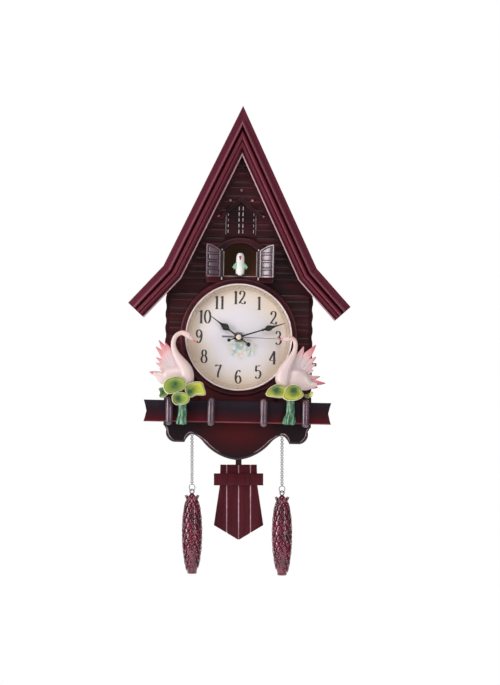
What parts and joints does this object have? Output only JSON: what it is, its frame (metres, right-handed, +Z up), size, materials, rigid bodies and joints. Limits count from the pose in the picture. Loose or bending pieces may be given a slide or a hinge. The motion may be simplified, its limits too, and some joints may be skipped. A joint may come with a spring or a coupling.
{
  "type": "pendulum wall clock",
  "caption": "Gabled log-house wall clock with a round dial, a bird behind hinged shutters, swans on the balcony, a swinging pendulum and hanging pine cones.",
  "frame": {"origin": "centre of the hanger plate's round hole, on the wall plane", "axes": "+Z up, +Y into the wall, +X to the right of someone facing the dial"},
  "size_m": [0.27, 0.0984, 0.5708],
  "materials": {
    "roof_wood": "matt stained",
    "back_board": "matt",
    "steel": "plain",
    "dark_logs": "gloss",
    "dark_trim": "gloss",
    "red_trim": "gloss",
    "bird_white": "gloss",
    "bird_green": "gloss",
    "black_plastic": "satin",
    "chamber_brown": "matt",
    "dial_paper": "matt print",
    "dial_glass": "clear",
    "hand_black": "satin",
    "hand_grey": "satin",
    "brass": "turned",
    "rod_wood": "gloss",
    "bob_wood": "satin",
    "chain_steel": "bright",
    "cone_red": "gloss",
    "rail_wood": "gloss",
    "post_gloss": "gloss",
    "apron_gloss": "gloss",
    "swan_resin": "satin paint",
    "leaf_green": "satin paint",
    "board_green": "plain",
    "cell_sleeve": "printed sleeve"
  },
  "bodies": {
    "case": {"roof_board_left": "roof_wood", "roof_board_right": "roof_wood", "roof_moulding_left": "roof_wood", "roof_moulding_right": "roof_wood", "eave_moulding_left": "roof_wood", "eave_moulding_right": "roof_wood", "back_panel": "back_board", "hanger_plate": "steel", "screws": "steel", "case_side_left": "dark_logs", "case_side_right": "dark_logs", "case_floor": "back_board", "front_panel": "dark_logs", "gable_window": "dark_trim", "gable_pediment": "dark_trim", "door_surround": "red_trim", "shutter_pins": "steel", "bird_chamber": "chamber_brown", "bird_motor": "black_plastic", "dial_plate": "dial_paper", "dial_glass": "dial_glass", "movement_case": "black_plastic", "movement_nut": "brass", "chain_hooks": "steel", "balcony_rail": "rail_wood", "balcony_posts": "post_gloss", "apron": "apron_gloss", "swan_left": "swan_resin", "swan_right": "swan_resin", "lily_left": "leaf_green", "lily_right": "leaf_green", "speaker": "black_plastic", "circuit_board": "board_green", "battery_holder": "black_plastic", "aa_cells": "cell_sleeve", "switch_body": "black_plastic"},
    "hour_hand": {"hour_hand": "hand_black", "hour_tube": "brass"},
    "minute_hand": {"minute_hand": "hand_black", "minute_arbor": "brass"},
    "second_hand": {"second_hand": "hand_grey", "second_arbor": "steel"},
    "set_knob": {"set_knob": "black_plastic"},
    "bird": {"bird_body": "bird_white", "bird_wings": "bird_green", "bird_carriage": "black_plastic"},
    "shutter_left": {"shutter_left": "dark_trim"},
    "shutter_right": {"shutter_right": "dark_trim"},
    "pendulum": {"pendulum_hanger": "black_plastic", "pendulum_rod": "rod_wood", "pendulum_bob": "bob_wood", "bob_crossbar": "bob_wood"},
    "chain_left": {"chain_left": "chain_steel"},
    "chain_right": {"chain_right": "chain_steel"},
    "cone_left": {"cone_ring_left": "chain_steel", "pinecone_left": "cone_red"},
    "cone_right": {"cone_ring_right": "chain_steel", "pinecone_right": "cone_red"},
    "battery_cover": {"battery_cover": "black_plastic"},
    "switch_lever": {"switch_lever": "black_plastic"}
  },
  "joints": [
    {"name": "minute_turn", "type": "hinge", "parent": "case", "child": "minute_hand", "pos_m": [0, -0.062, -0.165], "axis": [0, 1, 0], "continuous": true},
    {"name": "hour_turn", "type": "hinge", "parent": "case", "child": "hour_hand", "pos_m": [0, -0.062, -0.165], "axis": [0, 1, 0], "continuous": true},
    {"name": "second_turn", "type": "hinge", "parent": "case", "child": "second_hand", "pos_m": [0, -0.062, -0.165], "axis": [0, 1, 0], "continuous": true},
    {"name": "knob_turn", "type": "hinge", "parent": "case", "child": "set_knob", "pos_m": [-0.016, -0.038, -0.167], "axis": [0, 1, 0], "continuous": true},
    {"name": "bird_slide", "type": "slide", "parent": "case", "child": "bird", "axis": [0, -1, 0], "range_m": [-0.024, 0]},
    {"name": "shutter_left_turn", "type": "hinge", "parent": "case", "child": "shutter_left", "pos_m": [-0.0223, -0.068, -0.0906], "axis": [0, 0, 1], "range_deg": [0, 150]},
    {"name": "shutter_right_turn", "type": "hinge", "parent": "case", "child": "shutter_right", "pos_m": [0.0223, -0.068, -0.0906], "axis": [0, 0, 1], "range_deg": [-150, 0]},
    {"name": "pendulum_swing", "type": "hinge", "parent": "case", "child": "pendulum", "pos_m": [0, -0.028, -0.186], "axis": [0, 1, 0], "range_deg": [-8, 8]},
    {"name": "chain_left_swing", "type": "hinge", "parent": "case", "child": "chain_left", "pos_m": [-0.055, -0.05, -0.2808], "axis": [0, 1, 0], "range_deg": [-10, 10]},
    {"name": "chain_right_swing", "type": "hinge", "parent": "case", "child": "chain_right", "pos_m": [0.055, -0.05, -0.2808], "axis": [0, 1, 0], "range_deg": [-10, 10]},
    {"name": "cone_left_swing", "type": "hinge", "parent": "chain_left", "child": "cone_left", "pos_m": [-0.05375, -0.05, -0.34569], "axis": [0, 1, 0], "range_deg": [-8, 8]},
    {"name": "cone_right_swing", "type": "hinge", "parent": "chain_right", "child": "cone_right", "pos_m": [0.05625, -0.05, -0.34569], "axis": [0, 1, 0], "range_deg": [-8, 8]},
    {"name": "cover_pull", "type": "slide", "parent": "case", "child": "battery_cover", "axis": [0, 1, 0], "range_m": [0, 0.02]},
    {"name": "switch_slide", "type": "slide", "parent": "case", "child": "switch_lever", "axis": [0, 0, 1], "range_m": [-0.003, 0.003]}
  ],
  "couplings": [
    {"joint": "hour_turn", "follows": "minute_turn", "ratio": 0.083333},
    {"joint": "second_turn", "follows": "minute_turn", "ratio": 60},
    {"joint": "knob_turn", "follows": "minute_turn", "ratio": -3},
    {"joint": "shutter_left_turn", "follows": "bird_slide", "rad_per_m": -109.08},
    {"joint": "shutter_right_turn", "follows": "bird_slide", "rad_per_m": 109.08}
  ]
}
